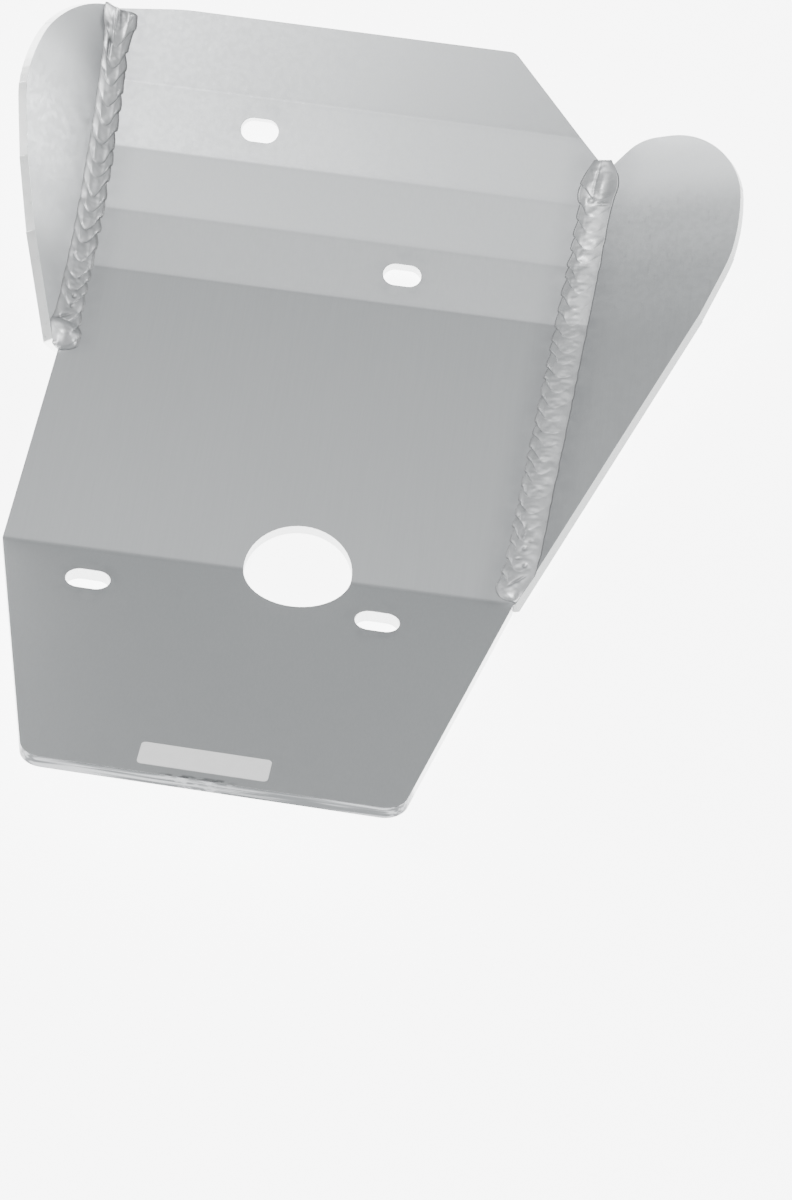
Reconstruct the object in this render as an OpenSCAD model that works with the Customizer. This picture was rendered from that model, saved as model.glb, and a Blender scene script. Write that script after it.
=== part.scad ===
// Motorcycle skid plate: one folded aluminium sheet with two welded side wings.
// The belly panel lies flat, and its underside is at z = 0.
// The origin is the middle of the belly panel's underside. X is across, and +Y is the front.
// Each sheet is drawn as its flat pattern and then folded, panel by panel.

/* [Sheet] */
// Thickness of the main plate and of both wings
sheet_t = 4.8; // [3:0.1:6]
// Inside radius of the bends
bend_r = 6; // [2:0.5:10]

/* [Belly panel] */
// Length from the rear bend to the first front bend
belly_l = 131; // [100:1:170]
// Width at the rear bend
belly_w = 190; // [170:1:230]

/* [Rear panel] */
// Length along the slope
rear_l = 117; // [90:1:150]
// Width at the rear edge
rear_w = 131; // [110:1:160]
// Rise of the rear panel, in degrees
rear_rise = 18.5; // [8:0.5:30]
// Corner radius at the rear edge
rear_corner_r = 9; // [2:0.5:20]
// How far the rear edge and its slots are out of square with the bend, in degrees
rear_skew = 1.4; // [0:0.1:3]

/* [Front panels] */
// Angle of each of the four front bends, in degrees
front_bend = 9; // [5:0.5:13]
// Length of each of the three panels between the front bends
front_panel_l = 26.5; // [22:0.5:34]
// Length of the top panel
top_panel_l = 30.5; // [24:0.5:44]
// How far the right-hand chamfer runs in from the plate's edge
chamfer_in = 41; // [30:0.5:55]
// Corner radius at the top edge
top_corner_r = 5; // [1:0.5:10]
// How far the top edge drops at its left end
top_left_drop = 2.8; // [0:0.1:5]

/* [Slots and drain hole] */
// Diameter of the drain hole
drain_d = 40; // [25:0.5:50]
// Drain hole centre, to the right of the middle
drain_x = 14.5; // [-20:0.5:25]
// Drain hole centre, in front of the rear bend
drain_y = 2.2; // [0:0.1:8]
// Width of the front bolt slots
front_slot_w = 9.6; // [7:0.1:12]
// Length of the front bolt slots
front_slot_l = 15; // [13:0.1:20]
// Width of the rear bolt slots
rear_slot_w = 10.7; // [7:0.1:12]
// Length of the rear bolt slots
rear_slot_l = 16.5; // [13:0.1:20]
// Place across the plate of the upper front slot
upper_slot_x = -28.5; // [-60:0.5:60]
// Place across the plate of the lower front slot
lower_slot_x = 35.5; // [-60:0.5:60]
// Middle of the rear pair of slots, across the plate
rear_slots_x = -6.8; // [-12:0.1:12]
// Distance between the rear slots
rear_slots_span = 106.6; // [92:0.2:114]
// Distance of the rear slots behind the rear bend
rear_slots_back = 18.7; // [14:0.1:30]

/* [Left wing] */
// Tilt of the left wing out from the belly panel, in degrees
left_flare = 50; // [35:1:65]
// How far the left seam lies in from the belly panel's width at the rear bend
left_seam_in = 4.5; // [0:0.5:8]
// Distance of the wing's rear end behind the first front bend
left_wing_back = 40.5; // [20:0.5:70]
// Height of the blunt rear end
left_tip_h = 3.8; // [3:0.2:14]
// Height of the wing in its flat pattern
left_wing_h = 54.6; // [46:0.2:62]
// Distance from the wing's top back to where its straight outer edge would reach that height
left_blend_back = 49; // [44:0.5:60]
// Radius of the lobe
left_lobe_r = 35.5; // [24:0.5:40]
// Radius where the outer edge meets the lobe
left_blend_r = 47; // [10:1:60]

/* [Right wing] */
// Tilt of the right wing out from the belly panel, in degrees
right_flare = 22; // [12:1:40]
// Turn of the right seam outwards from the middle line, in degrees
right_seam_turn = 3.9; // [0:0.1:6]
// Height of the blunt rear end
right_tip_h = 0.6; // [0.4:0.1:8]
// Height of the wing in its flat pattern
right_wing_h = 75; // [66:0.2:84]
// Distance from the wing's top back to where its straight outer edge would reach that height
right_blend_back = 45; // [38:0.5:60]
// Distance that the lobe reaches past the end of the seam
right_lobe_reach = 9.2; // [4:0.2:14]
// Radius of the lobe
right_lobe_r = 27.5; // [18:0.5:30]
// Radius where the outer edge meets the lobe
right_blend_r = 78; // [10:1:90]
// Distance from the seam to the shoulder where the lobe turns back to it
right_shoulder_in = 15.5; // [11:0.5:22]
// Radius of that shoulder
right_shoulder_r = 20; // [6:0.5:24]

/* [Weld beads] */
// How far each bead reaches over the plate
weld_leg_plate = 5.6; // [4:0.1:8]
// How far each bead reaches up the wing
weld_leg_wing = 5.4; // [3:0.1:8]
// Height of the bead's crown over the corner
weld_crown = 2.2; // [1.6:0.1:4]
// Distance from one ripple to the next
weld_ripple = 3.4; // [2.4:0.1:6]
// Depth of the ripples
weld_ripple_depth = 0.45; // [0.1:0.05:0.8]

/* [Label] */
// Width of the label
label_w = 45.3; // [20:0.5:60]
// Height of the label
label_h = 11; // [6:0.5:20]
// Thickness of the label
label_t = 0.2; // [0.1:0.05:0.5]
// Middle of the label, across the plate
label_x = -3.6; // [-25:0.5:25]
// Gap between the label and the rear edge
label_edge_gap = 4.2; // [2:0.1:20]

/* [Hidden] */

aluminium = [0.72, 0.73, 0.74];
bead_grey = [0.66, 0.67, 0.68];
paper = [0.93, 0.93, 0.92];

// Room that cutting shapes reach past the sheet
over = 60;
// Gap between a bead and the sheets under it
weld_seat = 0.05;
// Points of a bead's outline, from its toe on the plate to its toe on the wing
weld_sides = 6;
// Rings of a bead for each ripple
weld_rings_per_ripple = 3;
// How much wider a bead is at its ends, and along what length
weld_blob = 0.5;
weld_blob_l = 6;
// Length over which a bead's end rounds off
weld_end_l = 6;
// How far the middle of a ripple lags behind its toes, as a share of the ripple
weld_lag = 0.8;
label_corner_r = 1.5;
// Width of the level step between the right seam's top and the wing's shoulder
seam_ledge = 2.4;
// Length over which the top edge drops at its left end
top_drop_run = 26;
// Turn of one step in a bend's side view
bend_step = 3;
// Spare length of a bent sheet before it is cut to its pattern
spare = 20;
// How far each panel's cut runs past its folds, so that the outer side of a bend is cut too
fold_lap = 1.2;
$fn = 96;

// The plate's folds from the side, as [y, z] of its inner surface.
// Fold 0 is the rear edge, fold 1 the rear bend, folds 2 to 5 the front bends, fold 6 the top edge.
panel_len = [rear_l, belly_l, front_panel_l, front_panel_l, front_panel_l, top_panel_l];
panel_rise = [-rear_rise, 0, front_bend, 2 * front_bend, 3 * front_bend, 4 * front_bend];
rear_bend_at = [-belly_l / 2, sheet_t];
function along(angle) = [cos(angle), sin(angle)];
function plate_fold(i) =
    i == 0 ? rear_bend_at - rear_l * along(panel_rise[0]) :
    i == 1 ? rear_bend_at :
    plate_fold(i - 1) + panel_len[i - 1] * along(panel_rise[i - 1]);
plate_folds = [for (i = [0:6]) plate_fold(i)];

// Distance along the flat pattern from the rear bend to a fold
function pattern_at(i) = i == 1 ? 0 : pattern_at(i - 1) + panel_len[i - 1];
plate_top = pattern_at(6);

left_seam_x = belly_w / 2 - left_seam_in;
left_wing_start = belly_l - left_wing_back;

// The seams stand in upright planes. A seam's distance from the middle at a place y.
function seam_x(side, y) =
    side < 0 ? left_seam_x : belly_w / 2 + (y + belly_l / 2) * tan(right_seam_turn);
function flare(side) = side < 0 ? left_flare : right_flare;

// Where the 45 degree chamfer meets the top edge, and how far along the pattern it meets the right seam
chamfer_top_x = seam_x(1, plate_fold(5)[0]) - chamfer_in;
seam_drift = cos(panel_rise[4]) * tan(right_seam_turn);
chamfer_end = (plate_top + chamfer_top_x - seam_x(1, plate_fold(4)[0]) + pattern_at(4) * seam_drift)
    / (1 + seam_drift);

// A wing's folds in its own upright section, which is square to its flare
function wing_fold(side, i) =
    let (g = flare(side), p = plate_folds[i], out = seam_x(side, p[0]) - seam_x(side, rear_bend_at[0]))
    [p[0], cos(g) * (p[1] - sheet_t) - sin(g) * out];
function wing_folds(side) = [for (i = [1:6]) wing_fold(side, i)];

// Sum of the lengths of the first n panels of a row of folds
function length_to(folds, n) = n == 0 ? 0 : length_to(folds, n - 1) + norm(folds[n] - folds[n - 1]);
function heading(folds, i) =
    let (run = folds[i + 1] - folds[i]) atan2(run[1], run[0]);

// A point list with its corners rounded. Each corner is [x, y, radius].
function corner_arc(before, at, after) =
    let (p = [at[0], at[1]], r = at[2],
         a = [before[0] - p[0], before[1] - p[1]], b = [after[0] - p[0], after[1] - p[1]],
         ua = a / norm(a), ub = b / norm(b),
         half = acos(ua * ub) / 2,
         centre = p + (ua + ub) / norm(ua + ub) * r / sin(half),
         from = p + ua * r / tan(half) - centre,
         turn = 180 - 2 * half,
         way = sign(ua[0] * ub[1] - ua[1] * ub[0]),
         steps = ceil(turn / max(4, min(15, 60 / max(r, 1)))))
    r == 0 ? [p] :
    [for (i = [0:steps]) let (t = -way * turn * i / steps)
        centre + [from[0] * cos(t) - from[1] * sin(t), from[0] * sin(t) + from[1] * cos(t)]];
function rounded(corners) =
    let (n = len(corners))
    [for (i = [0:n - 1]) each corner_arc(corners[(i + n - 1) % n], corners[i], corners[(i + 1) % n])];

// The outline of a bend, as points around its centre
function bend_arc(folds, i, radius) =
    let (before = heading(folds, i - 1), turn = heading(folds, i) - before, middle = before + turn / 2,
         centre = folds[i] + bend_r / cos(turn / 2) * [-sin(middle), cos(middle)],
         steps = ceil(turn / bend_step))
    [for (k = [0:steps]) centre + radius * along(before + turn * k / steps - 90)];

// The side view of a whole folded sheet, with some spare length at both ends
function side_view(folds, depth) =
    let (last = len(folds) - 2,
         first_way = along(heading(folds, 0)), last_way = along(heading(folds, last)))
    [folds[0] - spare * first_way + depth * [first_way[1], -first_way[0]],
     for (i = [1:last]) each bend_arc(folds, i, bend_r + depth),
     folds[last + 1] + spare * last_way + depth * [last_way[1], -last_way[0]]];
function back_to_front(points) = [for (i = [len(points) - 1:-1:0]) points[i]];

// A flat pattern, given as the child, folded along a row of folds that are [y, z] points.
// The sheet is bent at full width, and then each panel is cut to the pattern.
// The pattern's Y runs along the panels, and its zero is at the fold whose number is zero_fold.
module folded_sheet(folds, zero_fold) {
    last = len(folds) - 2;
    zero = length_to(folds, zero_fold);
    half_width = 2 * over + belly_w;
    difference() {
        translate([-half_width, 0, 0])
            rotate([90, 0, 90])
                linear_extrude(2 * half_width)
                    polygon(concat(side_view(folds, 0), back_to_front(side_view(folds, sheet_t))));
        for (i = [0:last]) {
            start = i == 0 ? -over : -fold_lap;
            end = norm(folds[i + 1] - folds[i]) + (i == last ? over : fold_lap);
            translate([0, folds[i][0], folds[i][1]])
                rotate([heading(folds, i), 0, 0])
                    translate([0, 0, -2 * sheet_t])
                        linear_extrude(4 * sheet_t)
                            difference() {
                                translate([-half_width - 1, start])
                                    square([2 * half_width + 2, end - start]);
                                translate([0, zero - length_to(folds, i)])
                                    children();
                            }
        }
    }
}

module slot(l, w) {
    square([l - w, w], center = true);
    for (end = [-1, 1])
        translate([end * (l - w) / 2, 0])
            circle(d = w);
}

// Outline of the plate's flat pattern. Its zero is the rear bend.
// On the right it is cut wide, and the seam plane trims it.
module plate_outline() {
    skew = rear_w / 2 * tan(rear_skew);
    wide = seam_x(1, plate_fold(6)[0]) + over;
    polygon(rounded([
        [-rear_w / 2, -rear_l + skew, rear_corner_r],
        [rear_w / 2, -rear_l - skew, rear_corner_r],
        [belly_w / 2, 0, 0],
        [wide, 0, 0],
        [wide, plate_top - (wide - chamfer_top_x), 0],
        [chamfer_top_x, plate_top, top_corner_r],
        [-left_seam_x + top_drop_run, plate_top, 3 * top_drop_run],
        [-left_seam_x, plate_top - top_left_drop, 0],
        [-left_seam_x, left_wing_start, 0],
        [-belly_w / 2, 0, 0]]));
}

module plate_pattern() {
    difference() {
        plate_outline();
        translate([drain_x, drain_y])
            circle(d = drain_d);
        translate([upper_slot_x, pattern_at(4) + front_panel_l / 2])
            slot(front_slot_l, front_slot_w);
        translate([lower_slot_x, pattern_at(2) + front_panel_l / 2])
            slot(front_slot_l, front_slot_w);
        translate([rear_slots_x, -rear_slots_back])
            rotate(-rear_skew)
                for (side = [-1, 1])
                    translate([side * rear_slots_span / 2, 0])
                        slot(rear_slot_l, rear_slot_w);
    }
}

// Everything on the outer side of the right seam's plane
module beyond_right_seam() {
    translate([belly_w / 2, rear_bend_at[0], -over])
        rotate([0, 0, -right_seam_turn])
            translate([0, -over, 0])
                cube([4 * over, 2 * belly_l + 2 * over, 4 * over]);
}

module beyond_left_seam() {
    translate([-left_seam_x - 4 * over, rear_bend_at[0], -over])
        cube([4 * over, 2 * belly_l, 4 * over]);
}

// Everything under the plate's outer surface, from the belly panel to the top edge
module under_plate() {
    folds = [for (i = [1:6]) plate_folds[i]];
    translate([-2 * belly_w, 0, 0])
        rotate([90, 0, 90])
            linear_extrude(4 * belly_w)
                polygon(concat(side_view(folds, sheet_t), [[2 * belly_l, -over], [-2 * belly_l, -over]]));
}

// Puts a child that lies in a wing's own frame against its seam.
// In that frame X runs out along the flare, and Z is the wing's inner face.
module at_seam(side) {
    mirror([side < 0 ? 1 : 0, 0, 0])
        translate([seam_x(side, rear_bend_at[0]), 0, sheet_t])
            rotate([0, -flare(side), 0])
                children();
}

// The blend's radius, or the largest that the straight length beside it has room for
function blend_radius(r, turn, room) = max(0.5, min(r, (room - 0.2) / tan(turn / 2)));

// Tops of the wings' flat patterns, and how much each outer edge gains in height for its length
left_top = length_to(wing_folds(-1), 5);
left_edge_gain = (left_wing_h - left_tip_h) / (left_top - left_blend_back - left_wing_start);
right_seam_end = length_to(wing_folds(1), 3)
    + (chamfer_end - pattern_at(4)) / front_panel_l * norm(wing_fold(1, 5) - wing_fold(1, 4));
right_top = right_seam_end + right_lobe_reach;
right_edge_gain = (right_wing_h - right_tip_h) / (right_top - right_blend_back);

// Flat pattern of the left wing. X is the height from the seam, Y the distance from the rear bend.
module left_wing_pattern() {
    blend = blend_radius(left_blend_r, atan(left_edge_gain), left_blend_back - left_lobe_r);
    polygon(rounded([
        [-over / 2, left_wing_start, 0],
        [left_tip_h, left_wing_start, 1.5],
        [left_wing_h, left_top - left_blend_back, blend],
        [left_wing_h, left_top, left_lobe_r],
        [-over / 2, left_top, 0]]));
}

// Flat pattern of the right wing, in the same way
module right_wing_pattern() {
    blend = blend_radius(right_blend_r, atan(right_edge_gain), right_blend_back - right_lobe_r);
    seam_top = seam_point(1, chamfer_end);
    seam_h = (seam_top[2] - sheet_t) * sin(right_flare) + (seam_top[0] - belly_w / 2) * cos(right_flare);
    polygon(rounded([
        [-over / 2, 0, 0],
        [right_tip_h, 0, 0],
        [right_wing_h, right_top - right_blend_back, blend],
        [right_wing_h, right_top, right_lobe_r],
        [seam_h + right_shoulder_in, right_top, right_shoulder_r],
        [seam_h + seam_ledge, right_seam_end - 1, 0],
        [-over / 2, right_seam_end - 1, 0]]));
}

// Places along a seam, for a distance from the rear bend measured on the plate's pattern
function seam_panel(d) = len([for (i = [2:5]) if (d > pattern_at(i)) 1]) + 1;
function seam_point(side, d) =
    let (i = seam_panel(d), p = plate_folds[i] + (d - pattern_at(i)) * along(panel_rise[i]))
    [side * seam_x(side, p[0]), p[0], p[1]];

// Directions at a seam: over the plate, up the wing, and out of the corner
function over_plate(side) = [-side, 0, 0];
function up_wing(side) = [side * cos(flare(side)), 0, sin(flare(side))];
function unit(v) = v / norm(v);
function out_of_corner(side, d) =
    let (rise = panel_rise[seam_panel(d)], up = [0, -sin(rise), cos(rise)],
         along_seam = [0, cos(rise), sin(rise)],
         wing_up = side * unit(cross(up_wing(side), along_seam)))
    unit(up + wing_up);

// A bead's size along its length: round at both ends, and widest just inside them
function near(d, end) = exp(-pow((d - end) / weld_blob_l, 2));
function from_end(d, first, last) = min(1, max(0, min(d - first, last - d) / weld_end_l));
function bead_swell(d, first, last) =
    (1 + weld_blob * (near(d, first + weld_end_l) + near(d, last - weld_end_l)))
    * sqrt(1 - pow(1 - from_end(d, first, last), 2) * 0.97);

// The metal that a bead's two legs have to lie on, where a chamfer or a wing's tip leaves little
function plate_room(side, d) = side < 0 ? over : max(0.6, chamfer_end - d);
function wing_room(side, d) = side < 0 ?
    left_tip_h + (d - left_wing_start) * left_edge_gain :
    max(0.6, min(chamfer_end - d + seam_ledge - 1, right_tip_h + d * right_edge_gain));

// One ring of a bead: the corner's root, then points from the plate's toe over the crown to the wing's.
// The middle of each ripple lags behind its toes, which bends the ripples into crescents.
function bead_ring(side, d, first, last) =
    let (swell = bead_swell(d, first, last),
         plate_leg = min(plate_room(side, d), swell * weld_leg_plate),
         wing_leg = min(wing_room(side, d), swell * weld_leg_wing),
         ripple = weld_ripple_depth * abs(sin(180 * d / weld_ripple)),
         lag = weld_lag * weld_ripple * from_end(d, first, last),
         out = out_of_corner(side, d),
         seat = weld_seat * out)
    [seam_point(side, d) + seat,
     for (k = [0:weld_sides])
        let (t = k / weld_sides, bulge = 4 * t * (1 - t))
        seam_point(side, max(first, d - lag * bulge)) + seat * (1 + 3 * (1 - bulge))
            + (1 - t) * (1 - t) * plate_leg * over_plate(side)
            + t * t * wing_leg * up_wing(side)
            + bulge * swell * (weld_crown - ripple) * out];

module bead(side, first, last) {
    rings = ceil((last - first) / (weld_ripple / weld_rings_per_ripple));
    n = weld_sides + 2;
    points = [for (j = [0:rings]) each bead_ring(side, first + (last - first) * j / rings, first, last)];
    skin = [for (j = [0:rings - 1], k = [0:n - 1])
        let (a = j * n + k, b = j * n + (k + 1) % n)
        each [[a, b, b + n], [a, b + n, a + n]]];
    ends = [[for (k = [0:n - 1]) n - 1 - k], [for (k = [0:n - 1]) rings * n + k]];
    faces = concat(skin, ends);
    polyhedron(points, side > 0 ? [for (f = faces) [for (k = [len(f) - 1:-1:0]) f[k]]] : faces);
}

module main_plate() {
    color(aluminium)
        difference() {
            folded_sheet(plate_folds, 1)
                plate_pattern();
            beyond_right_seam();
        }
}

module left_wing() {
    color(aluminium)
        difference() {
            intersection() {
                at_seam(-1)
                    folded_sheet(wing_folds(-1), 0)
                        left_wing_pattern();
                beyond_left_seam();
            }
            under_plate();
        }
}

module right_wing() {
    color(aluminium)
        difference() {
            intersection() {
                at_seam(1)
                    folded_sheet(wing_folds(1), 0)
                        right_wing_pattern();
                beyond_right_seam();
            }
            under_plate();
        }
}

module left_weld() {
    color(bead_grey)
        bead(-1, left_wing_start + 1, plate_top - top_left_drop - 0.5);
}

module right_weld() {
    color(bead_grey)
        bead(1, 1, chamfer_end - 0.6);
}

module label() {
    color(paper)
        translate([0, rear_bend_at[0], rear_bend_at[1]])
            rotate([-rear_rise, 0, 0])
                translate([label_x, -rear_l + label_edge_gap + label_h / 2, 0])
                    rotate(-rear_skew)
                        linear_extrude(label_t)
                            polygon(rounded([
                                [-label_w / 2, -label_h / 2, label_corner_r],
                                [label_w / 2, -label_h / 2, label_corner_r],
                                [label_w / 2, label_h / 2, label_corner_r],
                                [-label_w / 2, label_h / 2, label_corner_r]]));
}

main_plate();
left_wing();
right_wing();
left_weld();
right_weld();
label();
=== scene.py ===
"""Motorcycle skid plate: a folded aluminium sheet with two welded side wings, dressed for a studio picture.

The sheets and the label are the CAD nodes with better materials. The two weld beads are new surfaces.
All lengths are in metres, in the frame of the CAD model.
"""

from __future__ import annotations

import logging
import math
from dataclasses import dataclass, field
from enum import Enum

import bpy
import numpy as np
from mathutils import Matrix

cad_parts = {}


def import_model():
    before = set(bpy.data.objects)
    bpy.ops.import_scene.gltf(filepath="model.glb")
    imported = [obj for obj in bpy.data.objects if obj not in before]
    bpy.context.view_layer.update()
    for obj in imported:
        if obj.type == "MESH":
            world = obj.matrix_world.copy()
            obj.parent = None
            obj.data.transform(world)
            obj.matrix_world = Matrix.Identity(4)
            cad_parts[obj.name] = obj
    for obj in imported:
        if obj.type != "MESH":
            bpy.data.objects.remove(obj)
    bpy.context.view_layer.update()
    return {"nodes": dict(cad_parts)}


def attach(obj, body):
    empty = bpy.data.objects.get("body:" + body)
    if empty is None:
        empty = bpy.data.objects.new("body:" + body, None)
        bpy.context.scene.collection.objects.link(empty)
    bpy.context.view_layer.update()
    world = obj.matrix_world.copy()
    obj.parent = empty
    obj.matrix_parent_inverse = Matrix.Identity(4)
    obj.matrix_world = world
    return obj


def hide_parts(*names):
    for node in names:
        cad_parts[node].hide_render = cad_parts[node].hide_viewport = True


log = logging.getLogger("skid_plate")
MM = 0.001


class Side(Enum):
    """The two sides of the plate, seen from the inner face with the front up."""

    LEFT = -1.0
    RIGHT = 1.0


def random_steps(count: int, seed: int, low: float, high: float) -> np.ndarray:
    """Gives a repeatable row of random numbers.

    Args:
        count: How many numbers.
        seed: The row's seed.
        low: The smallest value.
        high: The largest value.

    Returns:
        The numbers as one array.
    """
    return np.random.default_rng(seed).uniform(low, high, count)


def lattice_noise(u: np.ndarray, v: np.ndarray, seed: int) -> np.ndarray:
    """Smooth noise on a plane: random values at whole numbers, blended with 3t^2 - 2t^3 between them.

    Args:
        u: First coordinate of each point.
        v: Second coordinate of each point.
        seed: The noise's seed.

    Returns:
        A value from -1 to 1 for each point.
    """
    cells = 64
    table = np.random.default_rng(seed).uniform(-1.0, 1.0, (cells, cells))
    iu, iv = np.floor(u).astype(int), np.floor(v).astype(int)
    fu, fv = u - iu, v - iv
    fu, fv = fu * fu * (3 - 2 * fu), fv * fv * (3 - 2 * fv)
    near_u, far_u, near_v, far_v = iu % cells, (iu + 1) % cells, iv % cells, (iv + 1) % cells
    a, b = table[near_u, near_v], table[far_u, near_v]
    c, d = table[near_u, far_v], table[far_u, far_v]
    return (a * (1 - fu) + b * fu) * (1 - fv) + (c * (1 - fu) + d * fu) * fv


def ease(value: np.ndarray) -> np.ndarray:
    """Goes smoothly from 0 to 1: 3v^2 - 2v^3, with v kept from 0 to 1."""
    v = np.clip(value, 0.0, 1.0)
    return v * v * (3 - 2 * v)


def soft_min(a: np.ndarray, b: np.ndarray, blur: float) -> np.ndarray:
    """The smaller of two values, rounded where they cross: (a + b - sqrt((a - b)^2 + blur^2)) / 2."""
    return (a + b - np.sqrt((a - b) ** 2 + blur ** 2)) / 2


def surface_object(name: str, grid: np.ndarray, root: int) -> bpy.types.Object:
    """Makes a closed tube from a grid of points: rows along it, columns round it, a cap at each end.

    Args:
        name: The new object's name.
        grid: Points, shaped rows by columns by 3. The columns close on themselves.
        root: The column in the corner. The faces on its two sides and the caps are shaded flat.

    Returns:
        The new object, at the origin.
    """
    rows, cols = grid.shape[:2]
    i, j = np.meshgrid(np.arange(rows - 1), np.arange(cols), indexing="ij")
    k = (j + 1) % cols
    here, ahead = i * cols, (i + 1) * cols
    quads = np.stack([here + j, here + k, ahead + k, ahead + j], axis=-1).reshape(-1, 4)
    caps = [list(range(cols))[::-1], [(rows - 1) * cols + c for c in range(cols)]]
    mesh = bpy.data.meshes.new(name)
    mesh.from_pydata(grid.reshape(-1, 3).tolist(), [], quads.tolist() + caps)
    smooth = ((j != root) & (k != root)).reshape(-1).tolist() + [False] * len(caps)
    mesh.polygons.foreach_set("use_smooth", smooth)
    mesh.update()
    piece = bpy.data.objects.new(name, mesh)
    bpy.context.scene.collection.objects.link(piece)
    return piece


@dataclass
class NodeSheet:
    """A small helper that lays out one material's nodes."""

    name: str
    material: bpy.types.Material = field(init=False)

    def __post_init__(self) -> None:
        """Makes the material with its shader and output."""
        self.material = bpy.data.materials.new(self.name)
        self.material.use_nodes = True
        self.nodes = self.material.node_tree.nodes
        self.links = self.material.node_tree.links
        self.shader = self.nodes["Principled BSDF"]
        self.coords = self.nodes.new("ShaderNodeTexCoord")

    def wire(self, value: object, socket: bpy.types.NodeSocket) -> None:
        """Links a node's output to a socket, or sets the socket to a plain value.

        Args:
            value: The output or the plain value.
            socket: The socket that takes it.
        """
        if isinstance(value, bpy.types.NodeSocket):
            self.links.new(value, socket)
        else:
            socket.default_value = value

    def mapped(self, scale: tuple[float, float, float], turn: float = 0.0) -> bpy.types.NodeSocket:
        """Object coordinates, turned about Z and scaled.

        Args:
            scale: Cells per metre along each axis.
            turn: Turn about Z, in radians.

        Returns:
            The scaled coordinates.
        """
        mapping = self.nodes.new("ShaderNodeMapping")
        mapping.inputs["Scale"].default_value = scale
        mapping.inputs["Rotation"].default_value = (0.0, 0.0, turn)
        self.links.new(self.coords.outputs["Object"], mapping.inputs["Vector"])
        return mapping.outputs["Vector"]

    def noise(
        self, scale: tuple[float, float, float], detail: float = 3.0, turn: float = 0.0
    ) -> bpy.types.NodeSocket:
        """Noise from 0 to 1 on the object's own coordinates.

        Args:
            scale: Cells per metre along each axis.
            detail: Octaves.
            turn: Turn about Z, in radians.

        Returns:
            The noise value.
        """
        node = self.nodes.new("ShaderNodeTexNoise")
        node.inputs["Scale"].default_value = 1.0
        node.inputs["Detail"].default_value = detail
        self.links.new(self.mapped(scale, turn), node.inputs["Vector"])
        return node.outputs["Fac"]

    def math(
        self, kind: str, a: object, b: object = 0.0, clamp: bool = False, add: float = 0.0
    ) -> bpy.types.NodeSocket:
        """One step of arithmetic.

        Args:
            kind: The Math node's operation.
            a: First value or socket.
            b: Second value or socket.
            clamp: Whether the result is kept from 0 to 1.
            add: Third value, for the operations that take one.

        Returns:
            The result.
        """
        node = self.nodes.new("ShaderNodeMath")
        node.operation = kind
        node.use_clamp = clamp
        self.wire(a, node.inputs[0])
        self.wire(b, node.inputs[1])
        node.inputs[2].default_value = add
        return node.outputs[0]

    def ramp(
        self, value: object, low: float, high: float, out_low: float = 0.0, out_high: float = 1.0
    ) -> bpy.types.NodeSocket:
        """Maps a value smoothly from one range to another.

        Args:
            value: The value to map.
            low: Value that gives out_low.
            high: Value that gives out_high.
            out_low: Result at low.
            out_high: Result at high.

        Returns:
            The mapped value.
        """
        node = self.nodes.new("ShaderNodeMapRange")
        node.interpolation_type = "SMOOTHSTEP"
        self.wire(value, node.inputs["Value"])
        node.inputs["From Min"].default_value = low
        node.inputs["From Max"].default_value = high
        node.inputs["To Min"].default_value = out_low
        node.inputs["To Max"].default_value = out_high
        return node.outputs["Result"]

    def blend(self, amount: object, a: object, b: object) -> bpy.types.NodeSocket:
        """Mixes two colours.

        Args:
            amount: 0 gives a, 1 gives b.
            a: First colour or socket.
            b: Second colour or socket.

        Returns:
            The mixed colour.
        """
        node = self.nodes.new("ShaderNodeMix")
        node.data_type = "RGBA"
        self.wire(amount, node.inputs[0])
        self.wire(a, node.inputs[6])
        self.wire(b, node.inputs[7])
        return node.outputs[2]

    def split(self, vector: bpy.types.NodeSocket) -> bpy.types.bpy_prop_collection:
        """The X, Y and Z of a vector.

        Args:
            vector: The vector's socket.

        Returns:
            The three sockets.
        """
        node = self.nodes.new("ShaderNodeSeparateXYZ")
        self.links.new(vector, node.inputs[0])
        return node.outputs

    def relief(
        self, height: object, strength: float, depth: float, under: bpy.types.NodeSocket | None = None
    ) -> bpy.types.NodeSocket:
        """Turns a height into a bumped normal.

        Args:
            height: Height from 0 to 1.
            strength: The bump's strength.
            depth: The real height of 1, in metres.
            under: A normal that this one is laid over.

        Returns:
            The bumped normal.
        """
        node = self.nodes.new("ShaderNodeBump")
        node.inputs["Strength"].default_value = strength
        node.inputs["Distance"].default_value = depth
        self.wire(height, node.inputs["Height"])
        if under is not None:
            self.links.new(under, node.inputs["Normal"])
        return node.outputs["Normal"]


@dataclass(frozen=True)
class Halo:
    """A dull, darker band on a sheet beside one seam.

    The seam runs where x = start + (y - at) * lean, from the given y onwards. The bead reaches toe from it.
    """

    start: float
    at: float
    lean: float
    from_y: float
    toe: float

    def strength(self, s: NodeSheet, smear: bpy.types.NodeSocket) -> bpy.types.NodeSocket:
        """Full at the toe and nothing 12 mm further out, beside the bead only.

        Args:
            s: The material's node helper.
            smear: Noise that makes the band uneven.

        Returns:
            The band's strength, from 0 to 1.
        """
        place = s.split(s.coords.outputs["Object"])
        line = s.math("MULTIPLY_ADD", place[1], self.lean, add=self.start - self.at * self.lean)
        away = s.math("ABSOLUTE", s.math("SUBTRACT", place[0], line))
        uneven = s.math("ADD", away, s.ramp(smear, 0.3, 0.7, -0.7 * MM, 0.7 * MM))
        beside = s.ramp(place[1], self.from_y - 5 * MM, self.from_y + 3 * MM)
        band = s.math("MULTIPLY", s.ramp(uneven, self.toe, self.toe + 12 * MM, 1.0, 0.0), beside)
        return s.math("MULTIPLY", band, s.ramp(smear, 0.25, 0.7, 0.3, 0.85))


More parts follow.
